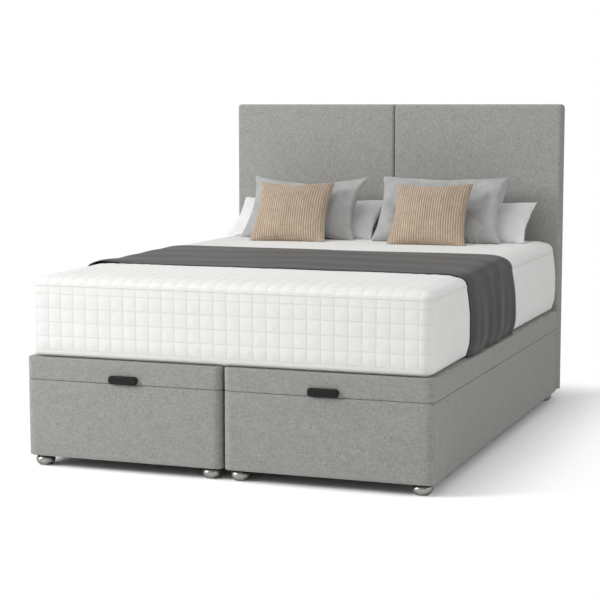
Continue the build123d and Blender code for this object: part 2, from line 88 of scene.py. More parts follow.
CHANNEL_DEPTH = 0.0017
SEAM_DEPTH = 0.0012
SEWN_LINE = (0.0008, 0.003)
SIDES = ((-1, "left_"), (1, "right_"))


# Meshes

def linked(name, data):
    """An object in the scene that shows a mesh, lamp or camera."""
    piece = bpy.data.objects.new(name, data)
    bpy.context.scene.collection.objects.link(piece)
    return piece


def make_object(name, points, faces, smooth=True, weld=True):
    """A mesh object from points and faces, with its normals turned outwards."""
    mesh = bpy.data.meshes.new(name)
    mesh.from_pydata([tuple(p) for p in points], [], faces)
    shape = bmesh.new()
    shape.from_mesh(mesh)
    if weld:
        bmesh.ops.remove_doubles(shape, verts=shape.verts, dist=WELD_DISTANCE)
    bmesh.ops.recalc_face_normals(shape, faces=shape.faces)
    shape.to_mesh(mesh)
    shape.free()
    mesh.polygons.foreach_set("use_smooth", [smooth] * len(mesh.polygons))
    return linked(name, mesh)


def numbers(layer, key, width=3):
    """What each item of a mesh's layer holds under a key, one row for each."""
    values = np.empty(len(layer) * width)
    layer.foreach_get(key, values)
    return values.reshape(-1, width)


def coordinates(mesh):
    """The points of a mesh as an array."""
    return numbers(mesh.vertices, "co")


def set_coordinates(mesh, points):
    """Write an array of points back to a mesh."""
    mesh.vertices.foreach_set("co", np.asarray(points, float).ravel())
    mesh.update()


def push_out(mesh, amounts):
    """Move each point of a mesh along its normal."""
    normals = numbers(mesh.vertex_normals, "vector")
    set_coordinates(mesh, coordinates(mesh) + normals * amounts[:, None])


def bake_modifiers(piece):
    """Keep the evaluated mesh of a piece and drop its modifiers."""
    graph = bpy.context.evaluated_depsgraph_get()
    result = bpy.data.meshes.new_from_object(piece.evaluated_get(graph), depsgraph=graph)
    piece.modifiers.clear()
    piece.data = result
    result.polygons.foreach_set("use_smooth", [True] * len(result.polygons))


def rounded(u, v, half_u, half_v, radius):
    """Map a square from -1 to 1 onto a rectangle with rounded corners."""
    x = u * half_u
    y = v * half_v
    over_x = np.abs(x) - (half_u - radius)
    over_y = np.abs(y) - (half_v - radius)
    corner = (over_x > 0) & (over_y > 0)
    longest = np.where(corner, np.maximum(over_x, over_y), 1.0)
    reach = np.where(corner, np.hypot(over_x, over_y), 1.0)
    share = longest / np.maximum(reach, 1e-9)
    x = np.where(corner, np.sign(x) * (half_u - radius + over_x * share), x)
    y = np.where(corner, np.sign(y) * (half_v - radius + over_y * share), y)
    return x, y


def even_lines(half_length, spacing):
    """Grid lines from -1 to 1 at about one spacing."""
    count = max(2, round(2 * half_length / spacing))
    return np.linspace(-1, 1, count + 1)


def border_walk(lines_u, lines_v):
    """The (u, v) of each grid point along the border of a square grid, in order."""
    return np.array(
        [(u, -1) for u in lines_u[:-1]]
        + [(1, v) for v in lines_v[:-1]]
        + [(u, 1) for u in lines_u[:0:-1]]
        + [(-1, v) for v in lines_v[:0:-1]]
    )


def ring_points(walk, half_u, half_v, radius, profile, least_radius):
    """Rings round a rounded rectangle, one for each (inset, rise) of the profile."""
    rings = []
    for inset, rise in profile:
        corner = max(radius - inset, least_radius)
        x, y = rounded(walk[:, 0], walk[:, 1], half_u - inset, half_v - inset, corner)
        rings.append(np.stack([x, y, np.full(len(x), rise)], axis=1))
    return rings


def wall_faces(ring_size, ring_count, closed):
    """Quads between successive rings."""
    faces = []
    last = ring_count if closed else ring_count - 1
    for k in range(last):
        a, b = k * ring_size, ((k + 1) % ring_count) * ring_size
        for i in range(ring_size):
            j = (i + 1) % ring_size
            faces.append((a + i, a + j, b + j, b + i))
    return faces


def grid_faces(count_u, count_v, start=0):
    """Quads of a grid whose points are numbered row by row."""
    corners = [start + i * count_v + j for i in range(count_u - 1) for j in range(count_v - 1)]
    return [(a, a + 1, a + count_v + 1, a + count_v) for a in corners]


def add_stack(points, faces, rings):
    """Add a closed stack of rings to the points and faces of a mesh in the making."""
    base, size = len(points), len(rings[0])
    last = base + size * (len(rings) - 1)
    for ring in rings:
        points += ring
    faces += [tuple(base + k for k in face) for face in wall_faces(size, len(rings), False)]
    faces += [tuple(range(base, base + size)), tuple(range(last, last + size))]


def block_form(name, half_u, half_v, radius, spacing, profile, place, least_radius=0.004):
    """A closed form: a gridded face inside the first ring, a wall of rings, and a flat back."""
    lines_u = even_lines(half_u, spacing)
    lines_v = even_lines(half_v, spacing)
    walk = border_walk(lines_u, lines_v)
    rings = ring_points(walk, half_u, half_v, radius, profile, least_radius)
    faces = wall_faces(len(walk), len(rings), False)
    grid_u, grid_v = np.meshgrid(lines_u, lines_v, indexing="ij")
    inset, rise = profile[0]
    x, y = rounded(grid_u, grid_v, half_u - inset, half_v - inset, max(radius - inset, least_radius))
    face_points = np.stack([x, y, np.full(x.shape, rise)], axis=-1).reshape(-1, 3)
    faces += grid_faces(len(lines_u), len(lines_v), len(rings) * len(walk))
    back = (len(rings) - 1) * len(walk)
    faces.append(tuple(range(back, back + len(walk))))
    return make_object(name, place(np.concatenate(rings + [face_points])), faces)


def ring_form(name, half_u, half_v, radius, spacing, profile, place):
    """A closed band swept round a rounded rectangle from a closed (inset, rise) profile."""
    walk = border_walk(even_lines(half_u, spacing), even_lines(half_v, spacing))
    rings = ring_points(walk, half_u, half_v, radius, profile, 0.002)
    return make_object(name, place(np.concatenate(rings)), wall_faces(len(walk), len(rings), True))


def quarter_turn(radius, steps, start, upwards):
    """Points of a rounded rim as (inset, rise), from the side to the face."""
    points = []
    for i in range(steps + 1):
        angle = math.pi / 2 * i / steps
        points.append((radius * (1 - math.cos(angle)), start + upwards * radius * math.sin(angle)))
    return points


def smooth_step(values, low, high):
    """Zero below low, one above high, and a smooth rise between them."""
    t = np.clip((values - low) / (high - low), 0, 1)
    return t * t * (3 - 2 * t)


def channels(values, pitch, width):
    """One on lines at every pitch, falling to zero within a width of them."""
    away = np.abs((values / pitch + 0.5) % 1 - 0.5) * pitch
    return np.exp(-((away / width) ** 2))


def store(mesh, name, values):
    """Keep one number for each point of a mesh."""
    layer = mesh.attributes.new(name, "FLOAT", "POINT")
    layer.data.foreach_set("value", np.asarray(values, float).ravel())


def wear(piece, surface):
    """Give a piece one material alone."""
    piece.data.materials.clear()
    piece.data.materials.append(surface)


def finish_piece(piece, body, slot, *nodes):
    """Give a piece the material of its slot and its body, and hide the nodes that it stands for."""
    wear(piece, SURFACES[slot])
    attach(piece, body)
    if nodes:
        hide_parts(*nodes)
    return piece


# Materials

class Graph:
    """A node tree and short ways to fill it."""

    def __init__(self, owner, empty=False):
        owner.use_nodes = True
        self.tree = owner.node_tree
        if empty:
            self.tree.nodes.clear()

    def node(self, kind, **settings):
        """A node with its settings."""
        made = self.tree.nodes.new(kind)
        for key, value in settings.items():
            setattr(made, key, value)
        return made

    def feed(self, node, key, value):
        """Set an input, or link another output to it."""
        if isinstance(value, bpy.types.NodeSocket):
            self.tree.links.new(value, node.inputs[key])
        else:
            node.inputs[key].default_value = value

    def filled(self, kind, **inputs):
        """A node with its inputs set or linked, and its first output."""
        made = self.node(kind)
        for key, value in inputs.items():
            self.feed(made, key.replace("_", " "), value)
        return made.outputs[0]

    def mixed(self, factor, first, second):
        """Mix two shaders."""
        made = self.node("ShaderNodeMixShader")
        for index, value in enumerate((factor, first, second)):
            self.feed(made, index, value)
        return made.outputs[0]

    def finish(self, kind, plain, looked_at):
        """An output with one shader for light and another for what the camera sees."""
        camera_ray = self.node("ShaderNodeLightPath").outputs["Is Camera Ray"]
        self.feed(self.node(kind), "Surface", self.mixed(camera_ray, plain, looked_at))

    def split(self, source):
        """The three parts of a vector, by name."""
        made = self.node("ShaderNodeSeparateXYZ")
        self.feed(made, 0, source)
        return made.outputs

    def math(self, operation, a, b=0.0, c=0.0):
        """One arithmetic step."""
        made = self.node("ShaderNodeMath", operation=operation)
        for i, value in enumerate((a, b, c)):
            self.feed(made, i, value)
        return made.outputs[0]

    def weighted(self, *terms):
        """The sum of values, each given with its weight."""
        value, weight = terms[-1]
        total = self.math("MULTIPLY", value, weight)
        for value, weight in terms[-2::-1]:
            total = self.math("MULTIPLY_ADD", value, weight, total)
        return total

    def spread(self, value, low, high, to_low=0.0, to_high=1.0, way="LINEAR"):
        """Map one range onto another, held at both ends."""
        made = self.node("ShaderNodeMapRange", interpolation_type=way)
        self.feed(made, "Value", value)
        for key, number in zip(("From Min", "From Max", "To Min", "To Max"), (low, high, to_low, to_high)):
            self.feed(made, key, number)
        return made.outputs["Result"]

    def blend(self, factor, low, high):
        """Mix two colours."""
        made = self.node("ShaderNodeMix", data_type="RGBA")
        self.feed(made, 0, factor)
        for index, value in ((6, low), (7, high)):
            self.feed(made, index, value if isinstance(value, bpy.types.NodeSocket) else (*value, 1.0))
        return made.outputs[2]


class Surface(Graph):
    """A node material built round one principled shader."""

    def __init__(self, name, **inputs):
        self.material = bpy.data.materials.new(name)
        super().__init__(self.material)
        self.shader = self.tree.nodes["Principled BSDF"]
        self.coordinate = self.node("ShaderNodeTexCoord").outputs["Object"]
        for key, value in inputs.items():
            self.shader.inputs[key.replace("_", " ")].default_value = value

    def noise(self, scale, detail=2.0, rough=0.6, source=None, warp=0.0):
        """Noise with one scale for each axis, or one for all."""
        scale = scale if isinstance(scale, tuple) else (scale,) * 3
        place = self.filled("ShaderNodeMapping", Vector=source or self.coordinate, Scale=scale)
        return self.filled(
            "ShaderNodeTexNoise", Vector=place, Scale=1.0, Detail=detail, Roughness=rough, Distortion=warp
        )

    def stitched(self, value, start, pitch):
        """One on thin lines at every pitch from a start."""
        away = self.math("PINGPONG", self.math("SUBTRACT", value, start), pitch / 2)
        return self.spread(away, *SEWN_LINE, 1.0, 0.0)

    def attribute(self, name):
        """A number kept on the mesh's points."""
        return self.node("ShaderNodeAttribute", attribute_name=name).outputs["Fac"]

    def colour(self, value):
        """Feed the base colour."""
        self.feed(self.shader, "Base Color", value)

    def rough(self, noise, low, high):
        """Feed the roughness, spread by a noise."""
        self.feed(self.shader, "Roughness", self.spread(noise, 0.3, 0.7, low, high))

    def bump(self, height, distance, strength=1.0):
        """Feed the normal from a height in metres."""
        normal = self.filled("ShaderNodeBump", Height=height, Distance=distance, Strength=strength)
        self.feed(self.shader, "Normal", normal)

    def rubbed(self, base, low, high, share, bare):
        """Feed the base colour, worn towards another on the sharpest edges."""
        edges = self.spread(self.node("ShaderNodeNewGeometry").outputs["Pointiness"], low, high)
        self.colour(self.blend(self.math("MULTIPLY", edges, share), base, bare))


def linear(*screen):
    """A screen colour from 0 to 255 as the scene's linear colour."""
    shares = [value / 255 for value in screen]
    return tuple(s / 12.92 if s <= 0.04045 else ((s + 0.055) / 1.055) ** 2.4 for s in shares)


def sheen(weight, rough):
    """The two sheen inputs of a cloth."""
    return {"Sheen_Weight": weight, "Sheen_Roughness": rough}


def upholstery():
    """Grey mottled weave of base, lids and headboard."""
    s = Surface("upholstery_grey", Roughness=0.92, Specular_IOR_Level=0.25, **sheen(0.12, 0.5))
    up_threads = s.noise((820, 820, 110))
    cross_threads = s.noise((110, 110, 820))
    slubs_up = s.noise((420, 420, 60))
    slubs_cross = s.noise((60, 60, 420))
    clouds = s.noise(26, 3.0)
    threads = s.math("ADD", up_threads, cross_threads)
    slubs = s.math("ADD", slubs_up, slubs_cross)
    tone = s.weighted((clouds, 0.12), (slubs, 0.45), (threads, 0.45))
    s.colour(s.blend(s.spread(tone, 0.68, 1.26), linear(124, 123, 120), linear(184, 183, 178)))
    s.bump(s.weighted((threads, 0.6), (slubs, 0.4)), 0.0011, 0.55)
    return s


def lined(s, name, axis, limit):
    """Turn a material to black lining cloth where the surface faces along one axis; under the floor boards
    this dark cloth also serves as painted shade beneath the bed.
    """
    s.material.name = name
    weave = s.shader.inputs["Base Color"].links[0].from_socket
    facing = s.split(s.node("ShaderNodeNewGeometry").outputs["Normal"])[axis]
    inside = s.math("GREATER_THAN" if limit > 0 else "LESS_THAN", facing, limit)
    if axis == "Y":
        place = s.split(s.coordinate)
        low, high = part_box("headboard_board")
        middle = (low.z + high.z) / 2
        for key, centre, half in (("X", 0.0, high.x), ("Z", middle, high.z - middle)):
            inside = s.math("MULTIPLY", inside, s.math("COMPARE", place[key], centre, half - TURN_OVER))
    s.colour(s.blend(inside, weave, linear(58, 58, 60)))
    return s.material


def mattress_knit():
    """White stretch knit with a fine rib, and painted shade that darkens it along the quilting channels and
    the seams.
    """
    s = Surface("mattress_knit_white", Roughness=0.85, Specular_IOR_Level=0.3, **sheen(0.1, 0.4))
    shade = linear(243, 243, 240)
    knit = s.noise(420)
    ribs = s.noise((300, 300, 24))
    cloud = s.noise(22, 2.0, 0.5)
    tone = s.weighted((knit, 0.25), (ribs, 0.4), (cloud, 0.35))
    light = s.blend(s.spread(tone, 0.36, 0.64), [c * 0.95 for c in shade], shade)
    place = s.split(s.coordinate)
    # Painted shade: the colour darkens along the quilting channels and the seams, where the sewn grooves
    # lie in shade.
    across = s.stitched(place["X"], QUILT_START, QUILT_PITCH)
    along = s.stitched(place["Y"], FOOT_Y + MATTRESS_FOOT, QUILT_PITCH)
    rows = s.stitched(place["Z"], MATTRESS_LOW + FIRST_ROW, ROW_PITCH)
    ends = s.math("MULTIPLY", s.math("MAXIMUM", across, rows), s.attribute("ends"))
    sides = s.math("MULTIPLY", s.math("MULTIPLY", along, s.attribute("sides")), 0.45)
    over = s.math("MULTIPLY", s.math("MULTIPLY", across, s.attribute("top")), 0.6)
    lines = s.math("MAXIMUM", s.math("MAXIMUM", ends, sides), s.math("MAXIMUM", over, s.attribute("seam")))
    s.colour(s.blend(s.math("MULTIPLY", lines, 0.22), light, [c * 0.6 for c in shade]))
    height = s.math("MULTIPLY_ADD", s.math("ADD", knit, ribs), 0.25, s.math("MULTIPLY", lines, -1.0))
    s.bump(height, 0.0012, 0.6)
    return s.material


def runner_cloth():
    """Charcoal satin with streaks along its length, and painted shade in a band along its edges and hems.
    """
    s = Surface("runner_charcoal", Roughness=0.48, Specular_IOR_Level=0.5, **sheen(0.22, 0.3))
    cloth = s.node("ShaderNodeTexCoord").outputs["UV"]
    streaks = s.noise((2.2, 60, 1), 3.0, source=cloth)
    fine = s.noise((9, 420, 1), source=cloth)
    weft = s.noise((600, 40, 1), source=cloth)
    cloud = s.noise((5, 9, 1), 2.0, 0.5, source=cloth)
    tone = s.weighted((streaks, 0.45), (fine, 0.3), (cloud, 0.25))
    base = s.blend(s.spread(tone, 0.36, 0.64), linear(24, 24, 23), linear(44, 44, 42))
    # Painted shade: a darker band along the cloth's edges and hems.
    s.colour(s.blend(s.math("MULTIPLY", s.attribute("edge"), 0.6), base, linear(30, 30, 28)))
    s.rough(streaks, 0.44, 0.6)
    s.bump(s.math("ADD", fine, weft), 0.0006, 0.45)
    return s.material


RIB_PITCH = 0.0103
STITCH_LENGTH = 0.0085


def rib_knit():
    """Tan ribbed knit: upright ribs broken into stitches, with painted highlight on the raised ribs and
    stitches and painted shade in the valleys between them.
    """
    s = Surface("rib_knit_tan", Roughness=0.88, Specular_IOR_Level=0.25, **sheen(0.3, 0.4))
    turns = s.math("MULTIPLY", s.attribute("across"), 2 * math.pi / RIB_PITCH)
    ribs = s.spread(s.math("COSINE", turns), -1.0, 1.0)
    from_middle = s.math("ABSOLUTE", s.math("SUBTRACT", ribs, 0.5))
    lean = s.math("MULTIPLY_ADD", from_middle, 0.006, s.attribute("along"))
    wave = s.math("SINE", s.math("MULTIPLY", lean, 2 * math.pi / STITCH_LENGTH))
    stitch = s.spread(wave, -1.0, 1.0)
    yarn = s.noise((700, 240, 700))
    cloud = s.noise(16, 2.0, 0.5)
    patch = s.spread(s.noise((60, 42, 60)), 0.4, 0.6)
    lowest = s.math("MULTIPLY_ADD", patch, -0.5, 0.8)
    # Height of the ribs and stitches for the bump; in the colour it is painted highlight on them and
    # painted shade between them.
    raised = s.math("MULTIPLY", ribs, s.spread(stitch, 0.0, 1.0, lowest, 1.0))
    tone = s.weighted((yarn, 0.35), (cloud, 0.2), (raised, 0.5))
    s.colour(s.blend(s.spread(tone, 0.2, 0.78), linear(142, 123, 104), linear(212, 193, 172)))
    s.bump(s.math("MULTIPLY_ADD", yarn, 0.15, raised), 0.002, 0.6)
    return s.material


def plain_weave(name, dark, light, thread, wrinkle):
    """Plain woven cotton or linen with soft creases, and painted light and shade that follow the creases in
    its colour.
    """
    s = Surface(name, Roughness=0.87, Specular_IOR_Level=0.28, **sheen(0.18, 0.4))
    warp = s.noise((thread, thread * 0.12, thread))
    weft = s.noise((thread * 0.12, thread, thread))
    crease = s.noise((9, 15, 9), 3.0, 0.55, warp=0.6)
    cloud = s.noise(20, 2.0, 0.5)
    threads = s.math("ADD", warp, weft)
    # The creases also tint the colour: painted light on their ridges and painted shade in their hollows.
    tone = s.weighted((threads, 0.3), (cloud, 0.25), (crease, 0.15))
    s.colour(s.blend(s.spread(tone, 0.34, 0.66), dark, light))
    s.bump(s.weighted((threads, 0.06), (crease, wrinkle)), 0.008, 0.5)
    return s.material


def piping_thread():
    """The woven tape of the mattress piping."""
    s = Surface("piping_tape", Roughness=0.8, Specular_IOR_Level=0.3)
    twist = s.noise(500)
    s.colour(s.blend(twist, linear(222, 222, 219), linear(242, 242, 239)))
    s.bump(twist, 0.0005, 0.5)
    return s.material


def moulded_plastic():
    """Black satin plastic with a fine spark texture and rubbed edges."""
    s = Surface("moulded_black", Roughness=0.42, Specular_IOR_Level=0.35)
    grain = s.noise(2600)
    cloud = s.noise(60)
    s.rubbed(s.blend(cloud, linear(10, 10, 9), linear(17, 17, 16)), 0.52, 0.6, 0.35, linear(56, 56, 54))
    s.rough(grain, 0.36, 0.5)
    s.bump(grain, 0.00025, 0.3)
    return s.material


def turned_nickel():
    """Satin nickel with fine turning marks round the foot, and a painted dark reflection at its rims."""
    s = Surface("satin_nickel", Metallic=1.0, Roughness=0.3)
    rings = s.noise((40, 40, 1400))
    stain = s.noise(70, 3.0)
    # Painted dark reflection: the edge tint darkens what the rims reflect.
    s.shader.inputs["Specular Tint"].default_value = (0.3, 0.29, 0.28, 1.0)
    s.colour(s.blend(s.spread(stain, 0.3, 0.7), linear(168, 166, 160), linear(198, 196, 190)))
    s.rough(rings, 0.26, 0.4)
    s.bump(rings, 0.0002, 0.25)
    return s.material


def zinc():
    """Bright zinc plating with a faint bloom."""
    s = Surface("zinc_plate", Metallic=1.0, Roughness=0.38)
    bloom = s.noise(90, 3.0, 0.65)
    s.colour(s.blend(bloom, linear(150, 154, 158), linear(206, 208, 206)))
    s.rough(bloom, 0.3, 0.5)
    s.bump(s.noise(800), 0.0002, 0.2)
    return s.material


def painted_steel(name, dark, light, roughness):
    """Powder coat with orange peel and chipped edges."""
    s = Surface(name, Roughness=roughness, Specular_IOR_Level=0.5)
    peel = s.noise(900, 2.0, 0.5)
    cloud = s.noise(30, 3.0)
    s.rubbed(s.blend(cloud, dark, light), 0.53, 0.62, 0.5, linear(140, 140, 142))
    s.rough(peel, roughness - 0.06, roughness + 0.08)
    s.bump(peel, 0.0003, 0.3)
    return s.material


def polished_rod():
    """Chromed rod with a faint oil film."""
    s = Surface("rod_chromed", Metallic=1.0, Roughness=0.08)
    film = s.noise(50, 3.0)
    s.colour(s.blend(film, linear(205, 207, 210), linear(232, 233, 235)))
    s.rough(film, 0.05, 0.16)
    return s.material


def softwood():
    """Planed pine boards with grain along the bed."""
    s = Surface("planed_pine", Roughness=0.62, Specular_IOR_Level=0.35)
    warp = s.noise((2.4, 0.7, 2.4), 2.0, 0.5)
    rings = s.noise((60, 1.6, 60), 3.0, warp=0.35)
    fibre = s.noise((420, 14, 420))
    knots = s.spread(s.noise((9, 3.2, 9), 1.0, 0.4), 0.71, 0.78)
    grain = s.weighted((rings, 0.6), (fibre, 0.25), (warp, 0.15))
    base = s.blend(s.spread(grain, 0.36, 0.64), linear(188, 160, 122), linear(224, 203, 168))
    s.colour(s.blend(knots, base, linear(146, 112, 78)))
    s.rough(fibre, 0.55, 0.7)
    s.bump(s.math("MULTIPLY_ADD", rings, 0.5, fibre), 0.0006, 0.4)
    return s


SURFACES = {
    "bed_fabric": upholstery().material,
    "mattress_fabric": mattress_knit(),
    "piping_fabric": piping_thread(),
    "runner_fabric": runner_cloth(),
    "tan_fabric": rib_knit(),
    "grey_fabric": plain_weave("linen_pale_grey", linear(154, 155, 154), linear(190, 191, 190), 620, 0.5),
    "pillow_cotton": plain_weave("cotton_white", linear(216, 216, 217), linear(243, 243, 243), 900, 0.7),
    "handle_plastic": moulded_plastic(),
    "foot_metal": turned_nickel(),
    "zinc_steel": zinc(),
    "linkage_steel": painted_steel("powder_coat_black", linear(44, 44, 46), linear(58, 58, 60), 0.45),
    "strut_paint": painted_steel("strut_enamel", linear(26, 26, 28), linear(34, 34, 36), 0.3),
    "rod_chrome": polished_rod(),
    "timber": softwood().material,
}
for subpart in frame["record"]["subparts"]:
    wear(frame["nodes"][subpart["node"]], SURFACES[subpart["material_slot"]])
wear(frame["nodes"]["headboard_board"], lined(upholstery(), "headboard_edge_and_lining", "Y", 0.6))
# Black lining cloth under the floor boards, which also serves as painted shade beneath the bed.
UNDERSIDE_LINING_AND_SHADE = lined(softwood(), "floor_board_lining_and_painted_shade", "Z", -0.6)
for _, prefix in SIDES:
    wear(frame["nodes"][prefix + "floor_board"], UNDERSIDE_LINING_AND_SHADE)


# Base, lids and headboard

HALF_U = (HALF_HIGH_X - HALF_LOW_X) / 2
HALF_V = BED_LENGTH / 2
HALF_X = (HALF_LOW_X + HALF_HIGH_X) / 2


def half_place(side):
    """Move a form drawn round the origin onto one half of the bed."""
    return lambda points: points + np.array([side * HALF_X, FOOT_Y + HALF_V, 0.0])


def base_cover(side, name):
    """Upholstery round one half of the base, turned in over both rims."""
    low, high = BASE_LOW, BASE_HIGH
    profile = [(WALL_DEPTH, low + SKIN), (WALL_DEPTH, low)]
    profile += quarter_turn(RIM_RADIUS, 4, low + RIM_RADIUS, -1)[::-1]
    levels = np.linspace(low + RIM_RADIUS, high - RIM_RADIUS, 14)[1:-1]
    profile += [(0.0, z) for z in levels]
    profile += quarter_turn(RIM_RADIUS, 4, high - RIM_RADIUS, 1)
    profile += [(WALL_DEPTH, high), (WALL_DEPTH, high - SKIN), (SKIN, high - SKIN), (SKIN, low + SKIN)]
    piece = ring_form(name, HALF_U, HALF_V, CORNER_RADIUS, COVER_SPACING, profile, half_place(side))
    return finish_piece(piece, "base", "bed_fabric", name.replace("_upholstery", "_cover"))


def lid_cover(side, name):
    """Upholstery over one lid: top, sides and a turn-in below."""
    low, high = LID_LOW, LID_HIGH
    profile = quarter_turn(RIM_RADIUS, 4, high - RIM_RADIUS, 1)[::-1]
    profile += [(0.0, z) for z in np.linspace(high - RIM_RADIUS, low + RIM_RADIUS, 6)[1:-1]]
    profile += quarter_turn(RIM_RADIUS, 4, low + RIM_RADIUS, -1)
    profile += [(WALL_DEPTH, low), (WALL_DEPTH, low + SKIN), (SKIN, low + SKIN), (SKIN, high - SKIN)]
    piece = block_form(name, HALF_U, HALF_V, CORNER_RADIUS, COVER_SPACING, profile, half_place(side))
    return finish_piece(piece, "lids", "bed_fabric", name.replace("_upholstery", "_cover"))


def headboard_pad(node):
    """One upholstered pad, rounded along its edges and crowned, with a faint ripple."""
    low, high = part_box(node)
    half_width = (high.x - low.x) / 2
    half_height = (high.z - low.z) / 2
    depth = high.y - low.y
    profile = quarter_turn(PAD_EDGE, 6, depth - PAD_EDGE, 1)[::-1]
    profile += [(0.0, depth * share) for share in (0.55, 0.4, 0.2, 0.0)]
    centre_x = (low.x + high.x) / 2
    centre_z = (low.z + high.z) / 2

    def place(points):
        x, z, rise = points[:, 0], points[:, 1], points[:, 2]
        return np.stack([centre_x + x, high.y - rise, centre_z + z], axis=1)

    name = node + "_upholstery"
    piece = block_form(name, half_width, half_height, PAD_CORNER, PAD_SPACING, profile, place, 0.003)
    points = coordinates(piece.data)
    from_seam = np.abs(points[:, 0])
    from_outer = half_width * 2 - from_seam
    from_top = high.z - points[:, 2]
    edge = np.minimum(np.minimum(from_seam, from_outer), from_top)
    facing = np.clip((high.y - points[:, 1]) / depth, 0, 1) > 0.9
    crown = PAD_CROWN * smooth_step(edge, 0.0, 0.16) * facing
    ripple = PAD_RIPPLE * np.sin(points[:, 0] * 31 + np.sin(points[:, 2] * 7) * 1.3)
    ripple *= smooth_step(edge, 0.02, 0.2)
    points[:, 1] -= crown + ripple * facing
    set_coordinates(piece.data, points)
    return finish_piece(piece, "base", "bed_fabric", node)


for side, prefix in SIDES:
    base_cover(side, prefix + "base_upholstery")
    lid_cover(side, prefix + "lid_upholstery")
    headboard_pad(prefix + "headboard_pad")


# Feet and handles

def lathe(name, profile, centre, steps=40):
    """A turned piece from (radius, height) points."""
    x, y, z = centre
    points, faces = [], []
    angles = np.linspace(0, 2 * math.pi, steps, endpoint=False)
    add_stack(points, faces, [
        [(x + radius * math.cos(a), y + radius * math.sin(a), z + height) for a in angles]
        for radius, height in profile
    ])
    return make_object(name, points, faces)


def foot_profile():
    """A flattened ball with a small flat sole and a short neck under the base."""
    points = [(0.012, 0.0), (0.0195, 0.0003), (0.0225, 0.0012)]
    for i in range(13):
        angle = math.radians(-62 + 118 * i / 12)
        points.append((0.0345 * math.cos(angle) ** 0.72, 0.0202 + 0.0205 * math.sin(angle)))
    return points + [(0.0245, 0.0385), (0.0245, BASE_LOW + SKIN)]


FOOT_INSET_X = 0.05
FOOT_INSET_Y = 0.043
for side, prefix in SIDES:
    columns = (HALF_LOW_X + FOOT_INSET_X, HALF_HIGH_X - FOOT_INSET_X)
    rows = (FOOT_Y + FOOT_INSET_Y, FOOT_Y + BED_LENGTH - FOOT_INSET_Y)
    for number, (x, y) in enumerate(((x, y) for x in columns for y in rows), 1):
        foot = lathe(f"{prefix}ball_foot_{number}", foot_profile(), (side * x, y, 0.0))
        finish_piece(foot, "base", "foot_metal", prefix + "feet")


HANDLE_VOXEL = 0.0009


def pull_handle(node):
    """The moulded pull with its edges rounded."""
    source = frame["nodes"][node]
    piece = linked(node + "_moulding", source.data.copy())
    piece.matrix_world = source.matrix_world
    remesh = piece.modifiers.new("voxels", "REMESH")
    remesh.mode = "VOXEL"
    remesh.voxel_size = HANDLE_VOXEL
    smooth = piece.modifiers.new("rounding", "SMOOTH")
    smooth.factor = 0.5
    smooth.iterations = 5
    bake_modifiers(piece)
    return finish_piece(piece, "lids", "handle_plastic", node)


pull_handle("left_pull_handle")
pull_handle("right_pull_handle")


# Small fasteners

SCREW_PROFILE = ((0.0047, 0.0), (0.0045, 0.0003), (0.0024, 0.0005), (0.0021, -0.0012))
BASE_SCREWS = ((0.439, 0.1045), (0.582, 0.1015), (0.665, 0.0895), (0.73, 0.0785))
LID_SCREWS = ((0.763, 0.343), (0.82, 0.349), (0.868, 0.3535))
PLATE = 0.003
STAPLE_LONG = 0.0055
STAPLE_SHORT = 0.0006


def screw_heads(name, node, places, body):
    """Countersunk heads, flush in the inner and the outer plate of one half."""
    low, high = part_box(node)
    points, faces = [], []
    turn = [(math.cos(math.pi * i / 10), math.sin(math.pi * i / 10)) for i in range(20)]
    for start, way in ((low.x + PLATE, 1), (high.x - PLATE, -1)):
        for y, z in places:
            add_stack(points, faces, [
                [(start + way * rise, y + radius * cos, z + radius * sin) for cos, sin in turn]
                for radius, rise in SCREW_PROFILE
            ])
    piece = make_object(name, points, faces, False)
    return finish_piece(piece, body, "zinc_steel")


def staples():
    """Wire staples that hold the lining to the back of the headboard."""
    low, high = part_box("headboard_board")
    inset = TURN_OVER + 0.008
    left, right, bottom, top = low.x + inset, high.x - inset, low.z + inset, high.z - inset
    places = []
    for x in np.linspace(left, right, 27):
        places += [(x, bottom, STAPLE_LONG, STAPLE_SHORT), (x, top, STAPLE_LONG, STAPLE_SHORT)]
    for z in np.linspace(bottom, top, 23)[1:-1]:
        places += [(left, z, STAPLE_SHORT, STAPLE_LONG), (right, z, STAPLE_SHORT, STAPLE_LONG)]
    points, faces = [], []
    corners = ((-1, -1), (1, -1), (1, 1), (-1, 1))
    for x, z, half_x, half_z in places:
        add_stack(points, faces, [
            [(x + u * half_x * share, y, z + v * half_z * share) for u, v in corners]
            for y, share in ((high.y - 0.0004, 1.0), (high.y - 0.00005, 1.0), (high.y + 0.0001, 0.7))
        ])
    piece = make_object("lining_staples", points, faces, False)
    return finish_piece(piece, "base", "zinc_steel")


for _, prefix in SIDES:
    screw_heads(prefix + "base_plate_screws", prefix + "base_hinge_plates", BASE_SCREWS, "base")
    screw_heads(prefix + "lid_plate_screws", prefix + "lid_hinge_plates", LID_SCREWS, "lids")
staples()


# Mattress

MATTRESS_HALF_LENGTH = (MATTRESS_HEAD - MATTRESS_FOOT) / 2
MATTRESS_MIDDLE_Y = FOOT_Y + (MATTRESS_HEAD + MATTRESS_FOOT) / 2
MATTRESS_CORNER = 0.046
SEAM_HEIGHT = 0.256
LOW_SEAM_HEIGHT = 0.018
CORDS = (("upper_piping", SEAM_HEIGHT, 0.0026), ("lower_piping", LOW_SEAM_HEIGHT, 0.0018))
SHOULDER_REACH = 0.11
SHOULDER_RISE = 0.034
SHOULDER_POWER = 0.8
TOP_HEIGHT = 0.29
TOP_CROWN = 0.017
UNDERCUT = 0.0105
SEAM_DRAW = 0.0026
LOW_BARREL = 0.005
HIGH_BARREL = 0.008


